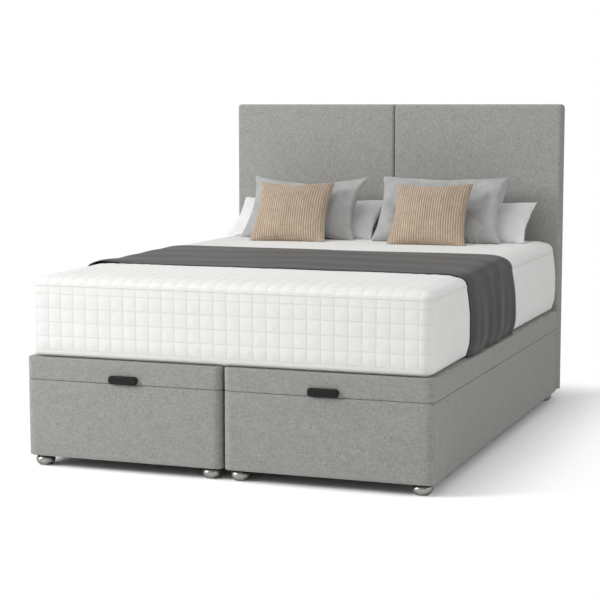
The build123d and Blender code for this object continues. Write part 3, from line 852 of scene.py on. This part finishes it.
def side_inset(height):
    """How far the mattress's border is drawn in at a height."""
    low = UNDERCUT * (1 - smooth_step(height, 0.0, 0.065)) ** 1.3
    high = SEAM_DRAW * smooth_step(height, 0.22, SEAM_HEIGHT)
    return float(low + high)


def barrel(height, y):
    """How much further the long sides are drawn in away from the foot corners: a barrel."""
    low = LOW_BARREL * (1 - smooth_step(height, 0.0, 0.1))
    high = HIGH_BARREL * smooth_step(height, 0.15, SEAM_HEIGHT)
    return (low + high) * smooth_step(y, 0.04, 0.4)


def crown_height(y):
    """Height of the mattress's top over its underside, for a place counted from the foot end."""
    return TOP_HEIGHT + TOP_CROWN * smooth_step(y, 0.05, 1.1)


def shoulder_point(share):
    """Inset beyond the seam and share of the rise, for a place on the rounded shoulder."""
    angle = math.pi / 2 * share
    return SHOULDER_REACH * (1 - math.cos(angle) ** SHOULDER_POWER), math.sin(angle) ** SHOULDER_POWER


def mattress_place(points):
    """Move a form drawn round the origin to the mattress's place."""
    return points + np.array([0.0, MATTRESS_MIDDLE_Y, MATTRESS_LOW])


def mattress_profile():
    """(inset, rise) from the flat top, over the shoulder and down the side to the underside."""
    seam_inset = side_inset(SEAM_HEIGHT)
    profile = []
    for i in range(13):
        reach, rise = shoulder_point(1 - i / 12)
        profile.append((seam_inset + reach, SEAM_HEIGHT + SHOULDER_RISE * rise))
    for height in np.linspace(SEAM_HEIGHT, 0.012, 36)[1:]:
        profile.append((side_inset(height), height))
    profile += [(0.022, 0.005), (0.028, 0.0012), (0.036, 0.0)]
    return profile


def mattress():
    """The mattress with a quilted border, a crowned top and soft channels along it."""
    piece = block_form(
        "mattress_body", MATTRESS_HALF_WIDTH, MATTRESS_HALF_LENGTH, MATTRESS_CORNER, 0.007,
        mattress_profile(), mattress_place, 0.012,
    )
    mesh = piece.data
    points = coordinates(mesh)
    x = points[:, 0]
    y = points[:, 1] - FOOT_Y
    height = points[:, 2] - MATTRESS_LOW
    above = np.clip((height - SEAM_HEIGHT) / SHOULDER_RISE, 0, 1)
    points[:, 2] += above * (crown_height(y) - SEAM_HEIGHT - SHOULDER_RISE)
    points[:, 0] *= 1 - barrel(height, y) / MATTRESS_HALF_WIDTH
    set_coordinates(mesh, points)
    normals = numbers(mesh.vertex_normals, "vector")
    on_ends = np.clip(np.abs(normals[:, 1]), 0, 1) ** 2
    on_side = np.clip(np.abs(normals[:, 0]), 0, 1) ** 2
    upward = np.clip(normals[:, 2], 0, 1)
    border = smooth_step(height, 0.016, 0.03)
    border *= 1 - smooth_step(height, SEAM_HEIGHT - 0.012, SEAM_HEIGHT - 0.002)
    across = channels(x - QUILT_START, QUILT_PITCH, CHANNEL_WIDTH)
    along = channels(y - MATTRESS_FOOT, QUILT_PITCH, CHANNEL_WIDTH)
    rows = channels(height - FIRST_ROW, ROW_PITCH, CHANNEL_WIDTH)
    rows *= smooth_step(height, 0.012, 0.022)
    edge = np.minimum(MATTRESS_HALF_WIDTH - np.abs(x), y - MATTRESS_FOOT)
    over = smooth_step(height, SEAM_HEIGHT, SEAM_HEIGHT + 0.006)
    fade = (1 - 0.75 * smooth_step(edge, 0.05, 0.4)) * over
    front = np.maximum(across, rows) * on_ends * border
    sides = np.maximum(along * 0.7, rows * 0.3) * on_side * border
    crossing = channels(y - MATTRESS_FOOT, QUILT_PITCH * 2, 0.012) * 0.25 * upward * over
    top = np.maximum(across * fade, crossing)
    seam = np.exp(-(((height - SEAM_HEIGHT) / 0.005) ** 2))
    seam += 0.5 * np.exp(-(((height - LOW_SEAM_HEIGHT) / 0.004) ** 2))
    # Masks for the knit's colour, which darkens along the channels and seams as painted shade.
    store(mesh, "ends", on_ends * border)
    store(mesh, "sides", on_side * border)
    store(mesh, "top", fade)
    store(mesh, "seam", np.clip(seam, 0, 1))
    quilting = np.clip(front + sides + top * 1.1, 0, 1)
    push_out(mesh, -CHANNEL_DEPTH * quilting - SEAM_DEPTH * np.clip(seam, 0, 1))
    return finish_piece(piece, "lids", "mattress_fabric", "mattress")


def mattress_cord(name, height, radius):
    """A sewn cord round the mattress."""
    profile = []
    for i in range(8):
        angle = 2 * math.pi * i / 8
        inset = side_inset(height) + 0.0014 - radius * math.cos(angle)
        profile.append((inset, height + radius * math.sin(angle)))
    piece = ring_form(
        name, MATTRESS_HALF_WIDTH, MATTRESS_HALF_LENGTH, MATTRESS_CORNER, 0.02, profile, mattress_place
    )
    points = coordinates(piece.data)
    drawn = barrel(points[:, 2] - MATTRESS_LOW, points[:, 1] - FOOT_Y)
    points[:, 0] *= 1 - drawn / MATTRESS_HALF_WIDTH
    set_coordinates(piece.data, points)
    return piece


mattress()
for name, height, radius in CORDS:
    cord = mattress_cord(name, height, radius)
    finish_piece(cord, "lids", "piping_fabric", "mattress_piping")


# Runner

RUNNER_NEAR = 0.457
RUNNER_FAR = 1.147
RUNNER_WIDTH = RUNNER_FAR - RUNNER_NEAR
RUNNER_HEM = 0.006
RUNNER_CLOTH = 0.0024
RUNNER_LIFT = 0.0032
EDGE_SHADE_WIDTH = 0.006


def runner_path(y):
    """Half of the runner's line over the mattress at one place, from the middle to the hem."""
    top = float(crown_height(y))
    seam = side_inset(SEAM_HEIGHT)
    line = [(share * (MATTRESS_HALF_WIDTH - seam - SHOULDER_REACH), top) for share in np.linspace(0, 1, 60)]
    for i in range(1, 15):
        reach, rise = shoulder_point(1 - i / 14)
        line.append((MATTRESS_HALF_WIDTH - seam - reach, SEAM_HEIGHT + (top - SEAM_HEIGHT) * rise))
    for height in np.linspace(SEAM_HEIGHT, RUNNER_HEM, 34)[1:]:
        line.append((MATTRESS_HALF_WIDTH - side_inset(height), height))
    return [(x * (1 - float(barrel(h, y)) / MATTRESS_HALF_WIDTH), h) for x, h in line]


def outward(line):
    """Unit normals of an open line of (x, z) points."""
    points = np.array(line)
    step = np.gradient(points, axis=0)
    normal = np.stack([-step[:, 1], step[:, 0]], axis=1)
    return normal / np.linalg.norm(normal, axis=1)[:, None]


def runner():
    """The charcoal runner, laid over the mattress and hanging down both sides in soft folds."""
    rows = np.linspace(0, 1, 70)
    sheets, lengths = [], []
    for share in rows:
        y = RUNNER_NEAR + RUNNER_WIDTH * share
        line = np.array(runner_path(y))
        normal = outward(line)
        run = np.concatenate([[0], np.cumsum(np.linalg.norm(np.diff(line, axis=0), axis=1))])
        hang = smooth_step(run, run[-1] - 0.3, run[-1])
        left, right = [
            np.column_stack([
                line + normal * (RUNNER_LIFT + fold_depth(share, side, run, hang))[:, None],
                edge_wave(share, side, run),
            ])
            for side in (-1, 1)
        ]
        full = np.concatenate([left[:0:-1] * [-1, 1, 1], right])
        sheets.append(np.stack([full[:, 0], FOOT_Y + y + full[:, 2], MATTRESS_LOW + full[:, 1]], axis=1))
        lengths.append(np.concatenate([-run[:0:-1], run]))
    return runner_mesh(np.array(sheets), np.array(lengths), rows)


def fold_depth(share, side, run, hang):
    """How far the cloth stands off the mattress: folds where it hangs, ripples and a loft on top."""
    phase = 0.4 if side > 0 else 1.7
    folds = 0.0035 * (1 - math.cos(share * 15.5 * (1.0 if side > 0 else 0.8))) * hang
    folds += 0.0018 * (1 - math.cos(share * 34 + (0 if side > 0 else 2))) * hang
    ripple = 0.0008 * (1 + np.sin(share * 23 + run * 5 + phase)) * (1 - hang)
    pinch = 0.0015 * smooth_step(np.full(len(run), abs(share - 0.5)), 0.44, 0.5) * (1 - hang)
    loft = (0.009 if side < 0 else 0.002) * math.exp(-((share / 0.16) ** 2))
    loft = loft * np.exp(-(((run - 0.69) / 0.07) ** 2))
    return folds + ripple - pinch + loft


def edge_wave(share, side, run):
    """How far a point moves along the bed, so that the long edges aren't ruled lines."""
    near = 0.0035 * np.sin(run * 17 + side) + 0.004 * side * run
    far = 0.0045 * np.sin(run * 11 + 2 + side) + 0.006 * side * run
    gather = -0.016 * smooth_step(run, run[-1] - 0.26, run[-1]) * (share - 0.5) * 2
    return near * (1 - share) + far * share + gather


def runner_mesh(outer, lengths, rows):
    """A thin closed cloth from its outer points, with its lengths as UVs and its edges marked."""
    count, width = outer.shape[:2]
    normal = np.cross(np.gradient(outer, axis=1), np.gradient(outer, axis=0))
    normal /= np.linalg.norm(normal, axis=2)[:, :, None]
    if normal[count // 2, width // 2, 2] < 0:
        normal = -normal
    inner = outer - normal * RUNNER_CLOTH
    points = np.concatenate([outer.reshape(-1, 3), inner.reshape(-1, 3)])
    half = count * width
    faces = grid_faces(count, width)
    faces += [(half + a, half + d, half + c, half + b) for a, b, c, d in faces]
    rim = list(range(width))
    rim += [i * width + width - 1 for i in range(1, count)]
    rim += [(count - 1) * width + j for j in range(width - 2, -1, -1)]
    rim += [i * width for i in range(count - 2, 0, -1)]
    for a, b in zip(rim, rim[1:] + rim[:1]):
        faces.append((a, b, half + b, half + a))
    piece = make_object("bed_runner_cloth", points, faces, weld=False)
    mesh = piece.data
    u = np.tile(lengths.ravel(), 2)
    v = np.tile(np.repeat(rows * RUNNER_WIDTH, width), 2)
    layer = mesh.uv_layers.new(name="cloth")
    corners = np.empty(len(mesh.loops), dtype=int)
    mesh.loops.foreach_get("vertex_index", corners)
    layer.data.foreach_set("uv", np.stack([u[corners], v[corners]], axis=1).ravel())
    from_edge = np.minimum(v, RUNNER_WIDTH - v)
    from_hem = np.abs(u).max() - np.abs(u)
    # Mask of the darker band along the edges and hems, painted shade in the cloth's colour.
    store(mesh, "edge", np.exp(-((np.minimum(from_edge, from_hem) / EDGE_SHADE_WIDTH) ** 2)))
    return piece


runner_piece = runner()
finish_piece(runner_piece, "lids", "runner_fabric", "bed_runner")


# Cushions and pillows

CUSHION_SPACING = 0.0075
CUSHION_FRAMES = 20
CUSHION_COVER = {
    "quality": 6, "mass": 0.1, "air_damping": 3,
    "tension_stiffness": 22, "compression_stiffness": 22, "shear_stiffness": 8,
    "tension_damping": 12, "compression_damping": 12, "shear_damping": 12,
}
CUSHION_SINK = 0.012
CROWN_POWER = 0.6
LOWER_DRAW_SHARE = 0.35


def envelope(name, size, spacing, draw):
    """Two crowned panels that share one pointed edge with drawn-in sides."""
    width, height, depth = size
    sides, ends = draw
    lines_u = even_lines(width / 2, spacing)
    lines_v = even_lines(height / 2, spacing)
    grid_u, grid_v = np.meshgrid(lines_u, lines_v, indexing="ij")
    x = grid_u * width / 2 * (1 - sides * (1 - grid_v**2))
    pull = np.where(grid_v > 0, ends, ends * LOWER_DRAW_SHARE)
    y = grid_v * height / 2 * (1 - pull * (1 - grid_u**2))
    z = depth / 2 * ((1 - grid_u**2) * (1 - grid_v**2)) ** CROWN_POWER
    front = np.stack([x, y, z], axis=-1).reshape(-1, 3)
    back = front * [1, 1, -1]
    count_u, count_v = len(lines_u), len(lines_v)
    total = count_u * count_v
    border = np.zeros((count_u, count_v), bool)
    border[0, :] = border[-1, :] = border[:, 0] = border[:, -1] = True
    border = border.ravel()
    index = np.arange(total)
    back_index = np.where(border, index, total + np.cumsum(~border) - 1)
    points = np.concatenate([front, back[~border]])
    faces = []
    for i in range(count_u - 1):
        for j in range(count_v - 1):
            a = i * count_v + j
            quad = (a, a + count_v, a + count_v + 1, a + 1)
            faces.append(quad)
            faces.append(tuple(int(back_index[k]) for k in quad[::-1]))
    piece = make_object(name, points, faces)
    for attribute, grid in (("across", grid_u * width / 2), ("along", grid_v * height / 2)):
        flat = grid.ravel()
        store(piece.data, attribute, np.concatenate([flat, flat[~border]]))
    return piece


def simulate(piece, pressure, bending):
    """Blow a sewn envelope up with the cloth solver and keep the result."""
    scene = bpy.context.scene
    cloth = piece.modifiers.new("cloth", "CLOTH")
    for key, value in CUSHION_COVER.items():
        setattr(cloth.settings, key, value)
    cloth.settings.bending_stiffness = bending
    cloth.settings.use_pressure = True
    cloth.settings.uniform_pressure_force = pressure
    cloth.settings.effector_weights.gravity = 0
    cloth.collision_settings.use_collision = False
    cloth.point_cache.frame_start = 1
    cloth.point_cache.frame_end = CUSHION_FRAMES
    for number in range(1, CUSHION_FRAMES + 1):
        scene.frame_set(number)
    bake_modifiers(piece)
    scene.frame_set(1)


def fit(points, size):
    """Scale points about the origin to a size along each axis."""
    reach = np.abs(points).max(axis=0)
    return points * (np.array(size) / 2 / reach)


def draw_in(points, size, sides, top):
    """Pull the edges in between the corners, which then stand out as points."""
    share = points[:, :2] / (np.array(size[:2]) / 2)
    points[:, 0] *= 1 - sides * (1 - share[:, 1] ** 2)
    points[:, 1] *= 1 - np.where(points[:, 1] > 0, top, 0) * (1 - share[:, 0] ** 2)
    return points


def pucker(points, size, amount):
    """Small gathers along the seam, strongest near it."""
    gathers = np.zeros(len(points))
    for axis in (0, 1):
        half, along = size[axis] / 2, points[:, 1 - axis]
        away = (1 - np.abs(points[:, axis] / half)) * half
        wave = np.sin(along * 150 + np.sin(along * 37) * 2) + 0.6 * np.sin(along * 251 + 1.3)
        gathers += np.exp(-((away / 0.02) ** 2)) * smooth_step(away, 0.0, 0.008) * wave
    return gathers * amount


def cushion(node, size, place, slot, draw, pressure, bending, puckers, ribs=0.0, gathered=(0, 0)):
    """A filled cushion that leans back: its place is its lower edge's middle, its turn and its lean."""
    (x, y), turn, lean = place
    piece = envelope(node + "_filled", size, CUSHION_SPACING, draw)
    simulate(piece, pressure, bending)
    points = fit(coordinates(piece.data), size)
    set_coordinates(piece.data, draw_in(points, size, *gathered))
    subdivide = piece.modifiers.new("subdivide", "SUBSURF")
    subdivide.levels = subdivide.render_levels = 2 if ribs else 1
    bake_modifiers(piece)
    push_out(piece.data, pucker(coordinates(piece.data), size, puckers))
    if ribs:
        across = numbers(piece.data.attributes["across"].data, "value", 1)[:, 0]
        rise = np.cos(across * 2 * math.pi / RIB_PITCH) * ribs
        push_out(piece.data, rise * smooth_step(np.abs(coordinates(piece.data)[:, 2]), 0.0, 0.02))
    move = (
        Matrix.Translation((x, FOOT_Y + y, 0))
        @ Matrix.Rotation(math.radians(turn), 4, "Z")
        @ Matrix.Rotation(math.radians(90 - lean), 4, "X")
        @ Matrix.Translation((0, size[1] / 2, 0))
    )
    rest_on_mattress(piece, move)
    return finish_piece(piece, "lids", slot, node)


def rest_on_mattress(piece, move):
    """Set a cushion down on the mattress, with its lower edge flattened where it touches."""
    turned = np.array(move.to_3x3())
    world = coordinates(piece.data) @ turned.T + np.array(move.translation)
    floor = MATTRESS_LOW + crown_height(world[:, 1] - FOOT_Y) + 0.0005
    drop = (world[:, 2] - floor).min() + CUSHION_SINK
    world[:, 2] -= drop
    below = floor - world[:, 2]
    world[:, 2] = np.where(below > 0, floor, world[:, 2])
    world[:, 2] += np.where(below <= 0, 0.003 * (1 - smooth_step(-below, 0.0, 0.03)), 0)
    lowest = Matrix.Translation((0, 0, -drop)) @ move
    set_coordinates(piece.data, (world - np.array(lowest.translation)) @ np.array(lowest.to_3x3()))
    piece.matrix_world = lowest


TAN_SIZE = (0.344, 0.330, 0.156)
GREY_SIZE = (0.552, 0.343, 0.1)
WIDE_GREY_SIZE = (0.567, 0.343, 0.1)
PILLOW_SIZE = (0.696, 0.284, 0.105)
COTTON_PILLOW = {
    "slot": "pillow_cotton", "draw": (0.012, 0.06),
    "pressure": 3.0, "bending": 0.4, "puckers": 0.001,
}
LINEN_CUSHION = {
    "slot": "grey_fabric", "draw": (0.036, 0.1),
    "pressure": 2.5, "bending": 0.4, "puckers": 0.001, "gathered": (0.028, 0.02),
}
KNITTED_CUSHION = {
    "slot": "tan_fabric", "draw": (0.055, 0.13),
    "pressure": 3.0, "bending": 0.6, "puckers": 0.0006, "ribs": 0.0005,
}
cushion("left_pillow", PILLOW_SIZE, ((-0.367, 1.748), -2.1, 51.9), **COTTON_PILLOW)
cushion("right_pillow", PILLOW_SIZE, ((0.306, 1.758), -1.5, 51.5), **COTTON_PILLOW)
cushion("left_grey_cushion", GREY_SIZE, ((-0.343, 1.660), -1.6, 34.1), **LINEN_CUSHION)
cushion("right_grey_cushion", WIDE_GREY_SIZE, ((0.286, 1.663), 2.4, 37.0), **LINEN_CUSHION)
cushion("left_tan_cushion", TAN_SIZE, ((-0.328, 1.510), 5.9, 37.6), **KNITTED_CUSHION)
cushion("right_tan_cushion", TAN_SIZE, ((0.283, 1.521), 3.9, 36.0), **KNITTED_CUSHION)


# Floor, light and camera

SHADOW_FADE = (0.04, 0.5)
DOME_STRENGTHS = (0.64, 0.3)


def floor():
    """A plain pale floor that keeps the shadow near the bed and reads as white."""
    corners = [(-40, -40, 0), (40, -40, 0), (40, 60, 0), (-40, 60, 0)]
    piece = make_object("floor", corners, [(0, 1, 2, 3)], False)
    material = bpy.data.materials.new("floor_white")
    g = Graph(material, empty=True)
    place = g.split(g.node("ShaderNodeTexCoord").outputs["Object"])
    beyond_x = g.math("SUBTRACT", g.math("ABSOLUTE", place["X"]), BED_HALF_WIDTH)
    beyond_y = g.math("SUBTRACT", g.math("ABSOLUTE", place["Y"]), BED_LENGTH / 2)
    fade = g.spread(g.math("MAXIMUM", beyond_x, beyond_y), *SHADOW_FADE, way="SMOOTHSTEP")
    seen = g.filled("ShaderNodeBsdfDiffuse", Color=(1.4, 1.4, 1.4, 1))
    glow = g.filled("ShaderNodeEmission", Strength=1.0)
    plain = g.filled("ShaderNodeBsdfDiffuse", Color=(0.9, 0.9, 0.9, 1))
    g.finish("ShaderNodeOutputMaterial", plain, g.mixed(fade, seen, glow))
    piece.data.materials.append(material)


def world():
    """A white background and an even studio dome, brightest at the horizon."""
    made = bpy.data.worlds.new("studio")
    bpy.context.scene.world = made
    g = Graph(made, empty=True)
    height = g.split(g.node("ShaderNodeTexCoord").outputs["Generated"])["Z"]
    strength = g.spread(height, 0.0, 0.9, *DOME_STRENGTHS)
    dome = g.filled("ShaderNodeBackground", Color=(0.98, 0.99, 1.0, 1), Strength=strength)
    white = g.filled("ShaderNodeBackground", Color=(1, 1, 1, 1), Strength=1.0)
    g.finish("ShaderNodeOutputWorld", dome, white)


def lamp(name, position, target, size, power):
    """A soft square lamp that faces a point."""
    light = bpy.data.lights.new(name, "AREA")
    light.shape = "SQUARE"
    light.size = size
    light.energy = power
    piece = linked(name, light)
    piece.location = position
    piece.rotation_euler = (Vector(target) - Vector(position)).to_track_quat("-Z", "Y").to_euler()


def camera():
    """The photograph's viewpoint."""
    yaw, pitch = 0.350462, -0.114704
    position = Vector((2.19293, -6.24680, 1.27560))
    made = bpy.data.cameras.new("camera")
    made.sensor_width = 36.0
    made.lens = 101.049
    made.clip_start = 0.1
    made.clip_end = 200.0
    piece = linked("camera", made)
    turn = Euler((math.pi / 2 + pitch, 0.0, yaw))
    piece.matrix_world = Matrix.LocRotScale(position, turn, None)
    bpy.context.scene.camera = piece


floor()
world()
lamp("key", (-4.9, -3.9, 3.2), (0.0, -0.2, 0.4), 2.4, 252)
lamp("fill", (4.8, -1.5, 3.0), (0.5, 0.0, 0.2), 3.5, 42)
lamp("top", (-0.6, -0.9, 4.8), (0.0, 0.0, 0.5), 3.2, 55)
camera()
bpy.context.scene.view_settings.view_transform = "Standard"
